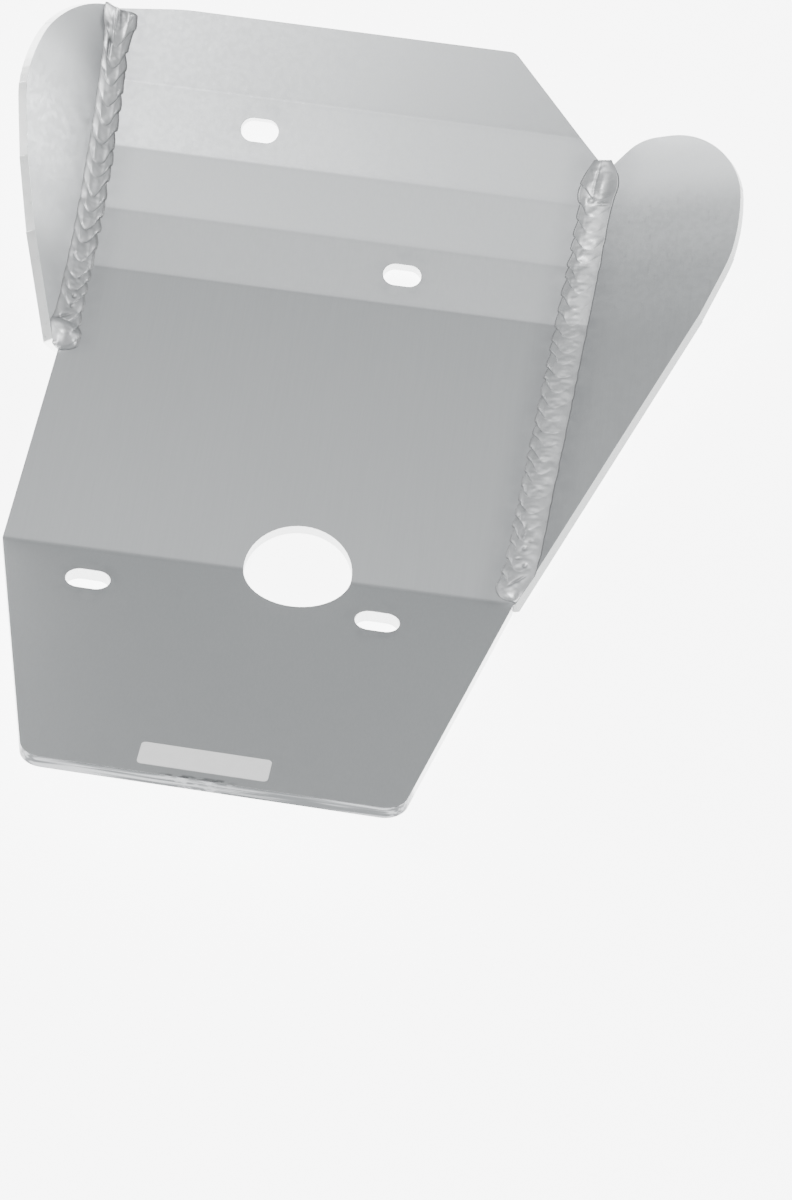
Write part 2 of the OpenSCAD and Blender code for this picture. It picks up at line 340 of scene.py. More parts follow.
@dataclass(frozen=True)
class SmoothBend:
    """The smooth turn of a wing's surface over the folds, which the picture shows instead of flat facets.

    The surface's rise is the sum of one bend's angle for each fold, eased over a panel's length.
    """

    flare: float
    side: float
    folds: tuple[float, ...]
    bend: float
    reach: float

    def normal(self, s: NodeSheet, facing: bpy.types.NodeSocket) -> bpy.types.NodeSocket:
        """The wing's smooth normal.

        Along x, y and z it is -side sin(flare) cos(rise), -cos(flare) sin(rise) and cos(flare) cos(rise).

        Args:
            s: The material's node helper.
            facing: Above 0 on the inner side and below 0 on the outer side.

        Returns:
            The normal.
        """
        y = s.split(s.coords.outputs["Object"])[1]
        rise = s.math("MULTIPLY", y, 0.0)
        for at in self.folds:
            rise = s.math("ADD", rise, s.ramp(y, at - self.reach, at + self.reach, 0.0, self.bend))
        sine, cosine = s.math("SINE", rise), s.math("COSINE", rise)
        join = s.nodes.new("ShaderNodeCombineXYZ")
        s.links.new(s.math("MULTIPLY", cosine, -self.side * math.sin(self.flare)), join.inputs[0])
        s.links.new(s.math("MULTIPLY", sine, -math.cos(self.flare)), join.inputs[1])
        s.links.new(s.math("MULTIPLY", cosine, math.cos(self.flare)), join.inputs[2])
        turned = s.nodes.new("ShaderNodeVectorMath")
        turned.operation = "SCALE"
        s.links.new(join.outputs[0], turned.inputs[0])
        inner = s.math("GREATER_THAN", facing, 0.0)
        s.links.new(s.math("MULTIPLY_ADD", inner, 2.0, add=-1.0), turned.inputs["Scale"])
        world = s.nodes.new("ShaderNodeVectorTransform")
        world.vector_type = "NORMAL"
        world.convert_from = "OBJECT"
        world.convert_to = "WORLD"
        s.links.new(turned.outputs[0], world.inputs[0])
        return world.outputs[0]


@dataclass(frozen=True)
class Grime:
    """A dark smear on the rear rim below the label: its middle and half length along x, and the rim's y."""

    middle: float = -5 * MM
    half_length: float = 15 * MM
    rim_y: float = -175.2 * MM

    def strength(self, s: NodeSheet) -> bpy.types.NodeSocket:
        """From 0 to 1, broken up by noise.

        Args:
            s: The material's node helper.

        Returns:
            The smear's strength.
        """
        place = s.split(s.coords.outputs["Object"])
        away = s.math("ABSOLUTE", s.math("SUBTRACT", place[0], self.middle))
        along = s.ramp(away, 0.5 * self.half_length, self.half_length, 1.0, 0.0)
        low = s.ramp(place[1], self.rim_y - 0.6 * MM, self.rim_y + 0.9 * MM, 1.0, 0.0)
        spots = s.ramp(s.noise((260.0, 420.0, 420.0), 3.0), 0.42, 0.62)
        return s.math("MULTIPLY", s.math("MULTIPLY", along, low), spots)


@dataclass(frozen=True)
class MillAluminium:
    """Satin sheet aluminium: fine rolling grain, faint clouds, rubs round the slots, cut edges toned with
    painted light and shade.

    The rim behind rear_edge, on a sheet with grime, is darkened by painted shade and has painted highlight
    streaks.
    """

    face: tuple[float, float, float, float] = (0.515, 0.53, 0.535, 1.0)
    cloud: tuple[float, float, float, float] = (0.485, 0.50, 0.505, 1.0)
    dull: tuple[float, float, float, float] = (0.40, 0.41, 0.42, 1.0)
    dark_tone: tuple[float, float, float, float] = (0.19, 0.195, 0.20, 1.0)
    # Painted light and shade: the cut edges' tone, set for each sheet to stand in for how light falls on
    # them.
    edge_light_and_shade: tuple[float, float, float, float] = (0.21, 0.215, 0.215, 1.0)
    # Painted shade on the rear rim, and the thin painted highlight streaks across it.
    rear_rim_shade: tuple[float, float, float, float] = (0.065, 0.068, 0.07, 1.0)
    rear_rim_highlight: tuple[float, float, float, float] = (0.20, 0.205, 0.21, 1.0)
    rear_edge: float = -0.165
    bright_grain: tuple[float, float, float, float] = (0.75, 0.76, 0.76, 1.0)
    roughness: float = 0.38
    edge_round: float = 0.35 * MM

    def material(
        self,
        name: str,
        across: tuple[float, float, float],
        fold_lines: tuple[float, ...],
        halos: tuple[Halo, ...],
        rubs: tuple[tuple[float, float], ...] = (),
        smooth: SmoothBend | None = None,
        grime: Grime | None = None,
    ) -> bpy.types.Material:
        """Builds the material for one sheet.

        Args:
            name: The material's name.
            across: A direction roughly square to the sheet. Faces turned away from it are cut edges.
            fold_lines: Y of the sheet's folds, where the press leaves a faint line.
            halos: The dull bands beside the seams.
            rubs: X and Y of the slots, round which screws and washers rubbed.
            smooth: The smooth turn of a wing's surface, if it has one.
            grime: The rear rim's smear, if the sheet has that rim.

        Returns:
            The material.
        """
        s = NodeSheet(name)
        grain = s.noise((1600.0, 40.0, 1600.0), 2.0)
        cloud = s.noise((11.0, 8.0, 11.0), 3.0)
        specks = s.noise((420.0, 420.0, 420.0), 2.0)
        smear = s.noise((150.0, 150.0, 150.0), 3.0)
        scratch = s.ramp(s.noise((900.0, 14.0, 900.0), 1.0, 0.5), 0.66, 0.72)
        tone = s.blend(s.math("MULTIPLY", s.ramp(cloud, 0.3, 0.75), 0.5), self.face, self.cloud)
        tone = s.blend(s.ramp(grain, 0.3, 0.7, 0.0, 0.06), tone, self.bright_grain)
        rough = s.math("ADD", s.ramp(cloud, 0.3, 0.7, -0.015, 0.02), self.roughness)
        rough = s.math("ADD", rough, s.ramp(specks, 0.35, 0.65, -0.02, 0.02))
        rough = s.math("SUBTRACT", rough, s.math("MULTIPLY", scratch, 0.04))
        dulling = self.press_lines(s, fold_lines)
        for halo in halos:
            dulling = s.math("ADD", dulling, halo.strength(s, smear))
        for rub in rubs:
            worn = s.math("MULTIPLY", self.rub(s, rub), s.ramp(smear, 0.4, 0.65, 0.0, 0.4))
            dulling = s.math("ADD", dulling, worn)
        tone = s.blend(s.math("MINIMUM", dulling, 1.0), tone, self.dull)
        facing = s.nodes.new("ShaderNodeVectorMath")
        facing.operation = "DOT_PRODUCT"
        s.links.new(s.coords.outputs["Normal"], facing.inputs[0])
        facing.inputs[1].default_value = across
        edge = s.ramp(s.math("ABSOLUTE", facing.outputs["Value"]), 0.66, 0.78, 1.0, 0.0)
        # Painted light and shade: the cut edges take this sheet's edge tone.
        tone = s.blend(edge, tone, self.edge_light_and_shade)
        if grime is not None:
            # Painted shade on the rear rim's cut face, broken by thin painted highlight streaks along x.
            highlight_streaks = s.ramp(s.noise((16.0, 700.0, 700.0), 2.0), 0.44, 0.62)
            y = s.split(s.coords.outputs["Object"])[1]
            rear = s.math("MULTIPLY", edge, s.ramp(y, self.rear_edge - 5 * MM, self.rear_edge, 1.0, 0.0))
            tone = s.blend(rear, tone, s.blend(highlight_streaks, self.rear_rim_shade, self.rear_rim_highlight))
            tone = s.blend(grime.strength(s), tone, self.dark_tone)
        s.links.new(tone, s.shader.inputs["Base Color"])
        s.shader.inputs["Metallic"].default_value = 1.0
        s.links.new(s.math("SUBTRACT", rough, s.math("MULTIPLY", edge, 0.08)), s.shader.inputs["Roughness"])
        bevel = s.nodes.new("ShaderNodeBevel")
        bevel.samples = 6
        bevel.inputs["Radius"].default_value = self.edge_round
        height = s.math("ADD", s.math("MULTIPLY", grain, 0.6), s.math("MULTIPLY", specks, 0.4))
        under = bevel.outputs["Normal"]
        if smooth is not None:
            under = s.blend(edge, smooth.normal(s, facing.outputs["Value"]), under)
        s.links.new(s.relief(height, 0.10, 0.04 * MM, under), s.shader.inputs["Normal"])
        return s.material

    def press_lines(self, s: NodeSheet, fold_lines: tuple[float, ...]) -> bpy.types.NodeSocket:
        """Faint lines 2 mm wide where the press bar bore on the sheet.

        Args:
            s: The material's node helper.
            fold_lines: Y of each fold.

        Returns:
            The lines' strength.
        """
        y = s.split(s.coords.outputs["Object"])[1]
        lines = s.math("MULTIPLY", y, 0.0)
        for at in fold_lines:
            away = s.math("ABSOLUTE", s.math("SUBTRACT", y, at))
            lines = s.math("ADD", lines, s.ramp(away, 0.6 * MM, 2.2 * MM, 0.16, 0.0))
        return lines

    def rub(self, s: NodeSheet, at: tuple[float, float]) -> bpy.types.NodeSocket:
        """A worn patch from 0 to 1: full within 8 mm of a slot's middle, gone at 14 mm.

        Args:
            s: The material's node helper.
            at: X and Y of the slot's middle.

        Returns:
            The patch's strength.
        """
        place = s.split(s.coords.outputs["Object"])
        dx = s.math("SUBTRACT", place[0], at[0])
        dy = s.math("SUBTRACT", place[1], at[1])
        square = s.math("ADD", s.math("MULTIPLY", dx, dx), s.math("MULTIPLY", dy, dy))
        return s.ramp(s.math("SQRT", square), 8 * MM, 14 * MM, 1.0, 0.0)


@dataclass(frozen=True)
class WeldMetal:
    """Bright rippled weld: smooth crowns, with painted shade in grey in the hollows and along the toes."""

    crown: tuple[float, float, float, float] = (0.67, 0.68, 0.685, 1.0)
    # The grey of the painted shade in grooves, pits and along the toes; faint random dull patches use it
    # too.
    hollow: tuple[float, float, float, float] = (0.26, 0.265, 0.27, 1.0)

    def material(self, name: str) -> bpy.types.Material:
        """Builds the material.

        Args:
            name: The material's name.

        Returns:
            The material. It reads the painted shade attribute "hollow", from 0 on crowns to 1 in hollows.
        """
        s = NodeSheet(name)
        # Painted shade from the attribute, broken up by grit noise, plus faint random dull patches.
        dark_tone = s.nodes.new("ShaderNodeAttribute")
        dark_tone.attribute_name = "hollow"
        grit = s.noise((900.0, 900.0, 900.0), 3.0)
        patch = s.noise((170.0, 170.0, 170.0), 2.0)
        shade_and_patches = s.math("MULTIPLY", dark_tone.outputs["Fac"], s.ramp(grit, 0.25, 0.6, 0.7, 1.0), True)
        shade_and_patches = s.math("ADD", shade_and_patches, s.ramp(patch, 0.5, 0.75, 0.0, 0.18), True)
        s.links.new(s.blend(shade_and_patches, self.crown, self.hollow), s.shader.inputs["Base Color"])
        s.shader.inputs["Metallic"].default_value = 1.0
        shine = s.ramp(grit, 0.3, 0.7, 0.36, 0.44)
        s.links.new(s.math("ADD", s.math("MULTIPLY", shade_and_patches, 0.2), shine), s.shader.inputs["Roughness"])
        s.links.new(s.relief(grit, 0.2, 0.08 * MM), s.shader.inputs["Normal"])
        return s.material


@dataclass(frozen=True)
class PlainLabel:
    """White film without print: faint mottling, a little sheen."""

    white: tuple[float, float, float, float] = (0.93, 0.93, 0.92, 1.0)
    worn: tuple[float, float, float, float] = (0.80, 0.80, 0.79, 1.0)

    def material(self, name: str) -> bpy.types.Material:
        """Builds the material.

        Args:
            name: The material's name.

        Returns:
            The material.
        """
        s = NodeSheet(name)
        mottle = s.noise((260.0, 260.0, 260.0), 3.0)
        scuff = s.ramp(s.noise((60.0, 300.0, 60.0), 2.0, 0.3), 0.58, 0.7)
        wear = s.math("ADD", s.ramp(mottle, 0.3, 0.8, 0.0, 0.25), s.math("MULTIPLY", scuff, 0.3), True)
        s.links.new(s.blend(wear, self.white, self.worn), s.shader.inputs["Base Color"])
        s.links.new(s.ramp(mottle, 0.3, 0.7, 0.38, 0.52), s.shader.inputs["Roughness"])
        s.shader.inputs["Specular IOR Level"].default_value = 0.4
        s.links.new(s.relief(mottle, 0.08, 0.04 * MM), s.shader.inputs["Normal"])
        return s.material


@dataclass
class PlateForm:
    """The folded plate's side view, which the seams follow.

    Lengths are in metres, but those from left_start to unlimited are in millimetres, as the beads' are.
    They say where the left wing starts along its seam, how wide the wings are at their tips and what they
    gain for each millimetre, where the chamfer meets the right seam, and how much further the notch goes.
    """

    belly_length: float = 131.0 * MM
    belly_width: float = 190.0 * MM
    front_panel: float = 26.5 * MM
    top_panel: float = 30.5 * MM
    front_bend: float = math.radians(9.0)
    fold_turn: float = 4.0 * MM
    thickness: float = 4.8 * MM
    left_seam_x: float = 90.5 * MM
    right_seam_turn: float = math.radians(3.9)
    left_flare: float = math.radians(50.0)
    right_flare: float = math.radians(22.0)
    left_start: float = 90.5
    left_tip: float = 3.8
    left_gain: float = 0.47
    right_tip: float = 0.6
    right_gain: float = 0.45
    chamfer_end: float = 200.6
    notch: float = 4.5
    unlimited: float = 60.0
    slots: tuple[tuple[float, float], ...] = (
        (-28.5 * MM, 129.8 * MM), (35.5 * MM, 79.0 * MM), (-60.1 * MM, -82.8 * MM), (46.5 * MM, -85.2 * MM)
    )

    def fold_marks(self) -> np.ndarray:
        """Distances along the flat pattern from the rear bend to each fold and to the top edge."""
        return np.cumsum([0.0, self.belly_length, *[self.front_panel] * 3, self.top_panel])

    def folds(self) -> np.ndarray:
        """Folds of the inner face: each is the last one plus a panel's length along the panel's rise.

        Returns:
            The folds from the rear bend to the top edge, as rows of y and z.
        """
        rise = self.front_bend * np.arange(5)
        steps = np.diff(self.fold_marks())[:, None] * np.stack([np.cos(rise), np.sin(rise)], axis=1)
        start = np.array([[-self.belly_length / 2, self.thickness]])
        return np.concatenate([start, start + np.cumsum(steps, axis=0)])

    def seam(self, side: Side, run: np.ndarray) -> np.ndarray:
        """Points on a seam.

        Args:
            side: Which seam.
            run: Distances along the flat pattern from the rear bend.

        Returns:
            Points with a last axis of 3. X is the seam plane's distance at that y.
        """
        marks, folds = self.fold_marks(), self.folds()
        y = np.interp(run, marks, folds[:, 0])
        z = np.interp(run, marks, folds[:, 1])
        right = self.belly_width / 2 + (y + self.belly_length / 2) * math.tan(self.right_seam_turn)
        x = np.full_like(y, -self.left_seam_x) if side is Side.LEFT else right
        return np.stack([x, y, z], axis=-1)

    def rise_at(self, run: np.ndarray) -> np.ndarray:
        """The rise at a distance: one bend's angle for each fold passed, turned over fold_turn at the fold.

        Args:
            run: Distances along the flat pattern from the rear bend.

        Returns:
            The rise in radians.
        """
        marks = self.fold_marks()[1:5]
        passed = np.clip((run[..., None] - marks) / self.fold_turn + 0.5, 0.0, 1.0)
        return self.front_bend * passed.sum(axis=-1)


@dataclass(frozen=True)
class Mark:
    """A small hollow in a bead, or a bump where its depth is below zero.

    Run and half_run are millimetres along the seam. Across goes from -1 at the plate's toe to 1 at the
    wing's toe, and half_across is in the same measure. Slant is millimetres along for 1 across.
    """

    run: float
    across: float
    half_run: float
    half_across: float
    depth: float
    slant: float = 0.0

    def lowers(self, run: np.ndarray, across: np.ndarray) -> np.ndarray:
        """How far the mark lowers the bead: its depth times exp(-e^1.4).

        Here e is the square of the distance along over half_run, plus the square of the distance across
        over half_across, which gives a nearly flat middle and a soft rim.

        Args:
            run: Millimetres along the seam.
            across: From -1 to 1 across the bead.

        Returns:
            Millimetres.
        """
        along = run - self.run - self.slant * (across - self.across)
        e = (along / self.half_run) ** 2 + ((across - self.across) / self.half_across) ** 2
        return self.depth * np.exp(-(e ** 1.4))


@dataclass
class WeldBead:
    """One fillet weld in the corner between the plate and a wing. Its lengths are in millimetres.

    Pairs hold the plate's value and the wing's, but end_length holds the rear end's and the front end's.
    The swells say how much wider the blobs near the rear and front ends are, and last_blob how far before
    the front end its blob sits. Calm fades the crescents out towards the wing, and pitch and lag shape
    them. The skirt is how far a thin strip of painted shade reaches past each toe, and soot how dark that
    painted shade is there. Seat is the bead's gap from the corner, and lift holds its visible side clear of
    its underside.
    """

    form: PlateForm
    side: Side
    name: str
    node: str
    first: float
    last: float
    leg: tuple[float, float]
    crown: float
    first_swell: tuple[float, float]
    last_swell: tuple[float, float]
    calm: float
    seed: int
    pitch: float
    shade_skirt: tuple[float, float]
    dark_tone: tuple[float, float]
    end_length: tuple[float, float]
    last_blob: float
    marks: tuple[Mark, ...]
    depth: float = 0.5
    lag: float = 0.85
    uneven: tuple[float, float] = (0.55, 1.35)
    lip_at: float = 0.58
    lip_width: float = 0.17
    lip_height: float = 0.4
    lump_height: float = 0.2
    grain_height: float = 0.13
    quiet_end: float = 6.0
    quiet_fade: float = 7.0
    seat: float = 0.02
    lift: float = 0.05
    blur: float = 1.4
    bridge: float = 3.0
    blob_length: float = 6.0
    step: float = 0.24
    across: int = 42

    def ripples(self, run: np.ndarray, across: np.ndarray) -> tuple[np.ndarray, np.ndarray]:
        """The overlapping crescents that the torch leaves.

        A crescent's line runs further forward towards both toes, by lag times the pitch times |across|^1.8,
        and it wanders a little. Between two lines the height is sin(pi * v^0.5)^0.8, with v from 0 to 1,
        so each crescent has a steep rear edge and a long gentle slope.

        Args:
            run: Millimetres along the seam.
            across: From -1 to 1 across the bead.

        Returns:
            The height from 0 in a groove to 1 on a crest, and the number of each point's crescent.
        """
        count = int((self.last - self.first) / self.pitch) + 8
        steps = self.pitch * (1 + random_steps(count, self.seed, -0.2, 0.2))
        lines = self.first - 3 * self.pitch + np.cumsum(steps)
        wander = 0.9 * lattice_noise(run / 5 + 9, 1.5 * across + 5 + 0 * run, self.seed + 6)
        place = run - self.lag * self.pitch * np.abs(across) ** 1.8 + wander + 0.12 * self.pitch * across
        index = np.clip(np.searchsorted(lines, place) - 1, 0, len(lines) - 2)
        v = np.clip((place - lines[index]) / (lines[index + 1] - lines[index]), 0.0, 1.0)
        return np.clip(np.sin(np.pi * v ** 0.5), 0.0, 1.0) ** 0.8, index

    def spread(self, run: np.ndarray, which: int) -> np.ndarray:
        """How much wider than its usual leg the bead is: blobs near both ends, then a rounded taper.

        A blob adds its swell times exp(-e^2), with e the distance from its middle over blob_length. The
        taper is sqrt(1 - 0.985 (1 - v)^2.4), with v from 0 at the very end to 1 at end_length from it.

        Args:
            run: Millimetres along the seam.
            which: 0 for the plate's leg, 1 for the wing's leg.

        Returns:
            The factor on the leg.
        """
        first = np.exp(-(((run - self.first - self.blob_length) / self.blob_length) ** 2))
        last = np.exp(-(((run - self.last + self.last_blob) / self.blob_length) ** 2))
        rear, front = (run - self.first) / self.end_length[0], (self.last - run) / self.end_length[1]
        end = np.clip(np.minimum(rear, front), 0.0, 1.0)
        taper = np.sqrt(1 - 0.985 * (1 - end) ** 2.4)
        return taper * (1 + (self.first_swell[which] - 1) * first + (self.last_swell[which] - 1) * last)

    def room(self, run: np.ndarray) -> tuple[np.ndarray, np.ndarray]:
        """The room that the two legs have, in millimetres, which the seams' ends limit.

        At the right seam's front end the bead bridges the notch between the plate and the wing. It is a
        bridge's width there, and gets wider rearwards from where the notch ends.

        Args:
            run: Millimetres along the seam.

        Returns:
            The room on the plate and on the wing.
        """
        form = self.form
        if self.side is Side.LEFT:
            on_wing = form.left_tip + (run - form.left_start) * form.left_gain
            return np.full_like(run, form.unlimited), np.maximum(form.left_tip, on_wing)
        ahead = -soft_min(0 * run, run - form.chamfer_end - form.notch, self.blur)
        on_wing = np.minimum(0.5 * self.bridge + 0.62 * ahead, form.right_tip + run * form.right_gain)
        return self.bridge + 0.45 * ahead, on_wing

    def skin(self, d: np.ndarray, w: np.ndarray) -> tuple[np.ndarray, ...]:
        """Works out how the weld's surface rises and falls.

        A groove is 1 less the crescent's height, and a lip is a raised line along each side of a crescent,
        at lip_at from the middle. Both are uneven from crescent to crescent and faint near the ends. The
        height is the crown's, less depth times the groove, plus lips and lumps, less the marks.

        Args:
            d: Millimetres along the seam, one for each row.
            w: From -1 at the plate's toe to 1 at the wing's toe, rows by columns.

        Returns:
            How deep in a groove each point is, the slow lumps from -1 to 1, the height in millimetres, and
            how much painted shade each point has, from 0 to 1.
        """
        dome, index = self.ripples(d, w)
        from_end = np.minimum(d - self.first, self.last - d)
        lively = 0.2 + 0.8 * ease((from_end - self.quiet_end) / self.quiet_fade)
        lively = lively * (1 - self.calm * ease((w + 0.75) / 0.6))
        lively = lively * random_steps(int(index.max()) + 1, self.seed + 2, *self.uneven)[index]
        groove = (1 - dome) * lively
        lips = np.exp(-(((np.abs(w) - self.lip_at) / self.lip_width) ** 2)) * dome * lively
        lump = lattice_noise(d / 3.6 + 7, (w + 1) * 1.15, self.seed + 4)
        grain = lattice_noise(d / 1.5 + 3, (w + 1) * 2.5, self.seed + 5)
        lowered = sum((mark.lowers(d, w) for mark in self.marks), 0 * w)
        crown = self.crown * (self.spread(d, 0) + self.spread(d, 1)) / 2
        height = crown - self.depth * groove + self.lump_height * lump + self.grain_height * grain
        height = np.maximum(height + self.lip_height * lips - lowered, 0.1 * crown)
        # Painted shade: darker in the grooves, in the marks' pits and along both toes.
        toe = np.clip(1 - (1 - w * w) * 5.5, 0.0, 1.0) * np.where(w < 0, self.dark_tone[0], self.dark_tone[1])
        dark_tone = np.clip(0.35 * groove + toe + np.clip(lowered / 1.2, 0.0, 0.7), 0.0, 1.0)
        return groove, lump, height, dark_tone

    def corner(self, d: np.ndarray) -> tuple[np.ndarray, np.ndarray, np.ndarray]:
        """The corner that the bead fills.

        Args:
            d: Millimetres along the seam, one for each row.

        Returns:
            The seam's points, the direction out of the corner halfway between the two sheets' own, and the
            direction up the wing.
        """
        form, side = self.form, self.side.value
        rise = form.rise_at(d[:, 0] * MM)
        up = np.stack([0 * rise, -np.sin(rise), np.cos(rise)], axis=-1)
        along = np.stack([0 * rise, np.cos(rise), np.sin(rise)], axis=-1)
        flare = form.left_flare if self.side is Side.LEFT else form.right_flare
        wing_up = np.array([side * math.cos(flare), 0.0, math.sin(flare)])
        wing_out = side * np.cross(np.broadcast_to(wing_up, along.shape), along)
        wing_out /= np.linalg.norm(wing_out, axis=1, keepdims=True)
        out = up + wing_out
        out /= np.linalg.norm(out, axis=1, keepdims=True)
        return form.seam(self.side, d[:, 0] * MM)[:, None, :], out[:, None, :], wing_up

    def grid(self) -> tuple[np.ndarray, np.ndarray]:
        """Works out the bead's closed surface.

        Along the seam runs d, and t goes from 0 at the plate's toe to 1 at the wing's toe. A point is the
        seam's point, plus (1-t)^2 times the plate's leg, plus t^2 times the wing's leg, plus 4t(1-t) times
        the height out of the corner. A groove narrows both legs, which scallops the toes. A thin strip that
        only carries painted shade lies on the metal outside both toes, and the last column lies in the
        corner.

        Returns:
            The points, rows by columns by 3, and how much painted shade each one has, from 0 to 1.
        """
        rows = int((self.last - self.first) / self.step)
        d = np.linspace(self.first, self.last, rows)[:, None]
        t = np.linspace(0.0, 1.0, self.across)[None, :]
        w = 2 * t - 1 + 0 * d
        groove, lump, height, dark_tone = self.skin(d, w)
        plate_room, wing_room = self.room(d)
        plate_leg = self.leg[0] * self.spread(d, 0) * (1.03 - 0.17 * groove + 0.05 * lump)
        wing_leg = self.leg[1] * self.spread(d, 1) * (1 - 0.05 * groove + 0.04 * lump)
        plate_leg = soft_min(plate_leg, plate_room, self.blur)
        wing_leg = soft_min(wing_leg, wing_room, self.blur)
        seam, out, wing_up = self.corner(d)
        inward = np.array([-self.side.value, 0.0, 0.0])
        offset = (
            ((1 - t) ** 2 * plate_leg)[..., None] * inward
            + (t ** 2 * wing_leg)[..., None] * wing_up
            + ((1 - w * w) * height)[..., None] * out
        )
        # The skirt: a thin strip on the metal outside each toe that only carries painted shade.
        plate_edge = np.minimum(plate_leg[:, :1] + self.shade_skirt[0], plate_room)[..., None] * inward
        wing_edge = np.minimum(wing_leg[:, -1:] + self.shade_skirt[1], wing_room)[..., None] * wing_up
        offset = np.concatenate([plate_edge, offset, wing_edge], axis=1)
        root = seam + self.seat * MM * out
        points = np.concatenate([root + (offset + self.lift * out) * MM, root], axis=1)
        # Painted shade for each column: the toe darkness on both skirt strips, full in the corner.
        full = np.ones((rows, 1))
        dark_tone = np.concatenate([self.dark_tone[0] * full, dark_tone, self.dark_tone[1] * full, full], axis=1)
        if self.side is Side.RIGHT:
            return points[:, ::-1], dark_tone[:, ::-1]
        return points, dark_tone

    def build(self, finish: WeldMetal) -> bpy.types.Object:
        """Makes the bead and puts it in place of its CAD node.

        Args:
            finish: The weld's finish.

        Returns:
            The bead.
        """
        points, dark_tone = self.grid()
        root = 0 if self.side is Side.RIGHT else points.shape[1] - 1
        piece = surface_object(self.name, points, root)
        # The painted shade of grooves, pits and toes, as a point attribute that the weld material reads.
        shade = piece.data.attributes.new("hollow", "FLOAT", "POINT")
        shade.data.foreach_set("value", dark_tone.reshape(-1).astype(np.float32))
        piece.data.materials.append(finish.material(self.name + "_metal"))
        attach(piece, "root")
        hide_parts(self.node)
        return piece


def left_bead(form: PlateForm) -> WeldBead:
    """The left bead: even crescents, a round blob at the rear, a fork and a long groove at the front."""
    marks = (
        Mark(96.0, 0.0, 4.6, 0.60, -0.9),
        Mark(101.8, 0.45, 0.9, 0.6, 0.9, -3.5),
        Mark(108.2, -0.12, 0.9, 0.16, 0.5),
        Mark(112.7, -0.12, 1.0, 0.18, 0.9),
        Mark(131.8, 0.55, 0.9, 0.14, 0.35),
        Mark(133.6, -0.4, 0.9, 0.14, 0.35),
        Mark(220.8, 0.56, 4.6, 0.14, 1.5),
        Mark(228.2, 0.84, 1.2, 0.14, 1.0),
        Mark(230.0, 0.32, 7.0, 0.14, -0.7),
        Mark(230.5, -0.62, 6.0, 0.16, -0.6),
        Mark(238.0, -0.15, 7.0, 0.34, 2.1),
    )
    return WeldBead(
        form=form,
        side=Side.LEFT,
        name="left_bead",
        node="left_weld",
        first=88.2,
        last=237.7,
        leg=(5.2, 5.2),
        crown=2.1,
        first_swell=(1.3, 1.6),
        last_swell=(1.4, 1.35),
        calm=0.0,
        seed=11,
        pitch=7.5,
        # A strip of painted shade past each toe, darker on the plate's side.
        shade_skirt=(0.9, 0.5),
        dark_tone=(0.55, 0.3),
        end_length=(5.0, 1.8),
        last_blob=4.0,
        marks=marks,
    )


def right_bead(form: PlateForm) -> WeldBead:
    """The right bead: calm, scalloped along the plate, with a pitted rear end and a domed front end."""
    marks = (
        Mark(9.2, 0.1, 0.8, 0.42, 0.7, 5.2),
        Mark(16.0, 0.28, 0.9, 0.15, 0.6),
        Mark(19.2, -0.22, 0.7, 0.20, 0.4),
        Mark(23.7, 0.03, 0.9, 0.16, 0.6),
        Mark(27.0, 0.33, 0.7, 0.14, 0.3),
        Mark(31.0, -0.25, 4.0, 0.13, 0.45),
        Mark(157.0, 0.2, 3.0, 0.42, 0.35),
        Mark(156.0, 0.2, 2.6, 0.36, -0.38),
        Mark(184.4, 0.6, 0.9, 0.42, 0.7),
        Mark(185.8, -0.3, 1.3, 0.2, 0.35),
        Mark(186.0, -0.62, 1.1, 0.16, -0.3),
        Mark(191.0, 0.42, 5.5, 0.42, -1.2),
        Mark(194.0, -0.2, 6.0, 0.09, 0.35),
    )
    return WeldBead(
        form=form,
        side=Side.RIGHT,
        name="right_bead",
        node="right_weld",
        first=1.0,
        last=203.3,
        leg=(6.0, 6.2),
        crown=1.8,
        first_swell=(1.18, 1.05),
        last_swell=(1.3, 1.2),
        calm=0.75,
        seed=23,
        pitch=6.6,
        # A strip of painted shade past each toe, equally dark on both sides.
        shade_skirt=(0.6, 0.6),
        dark_tone=(0.3, 0.3),
        end_length=(5.0, 2.4),
        last_blob=11.5,
        marks=marks,
    )


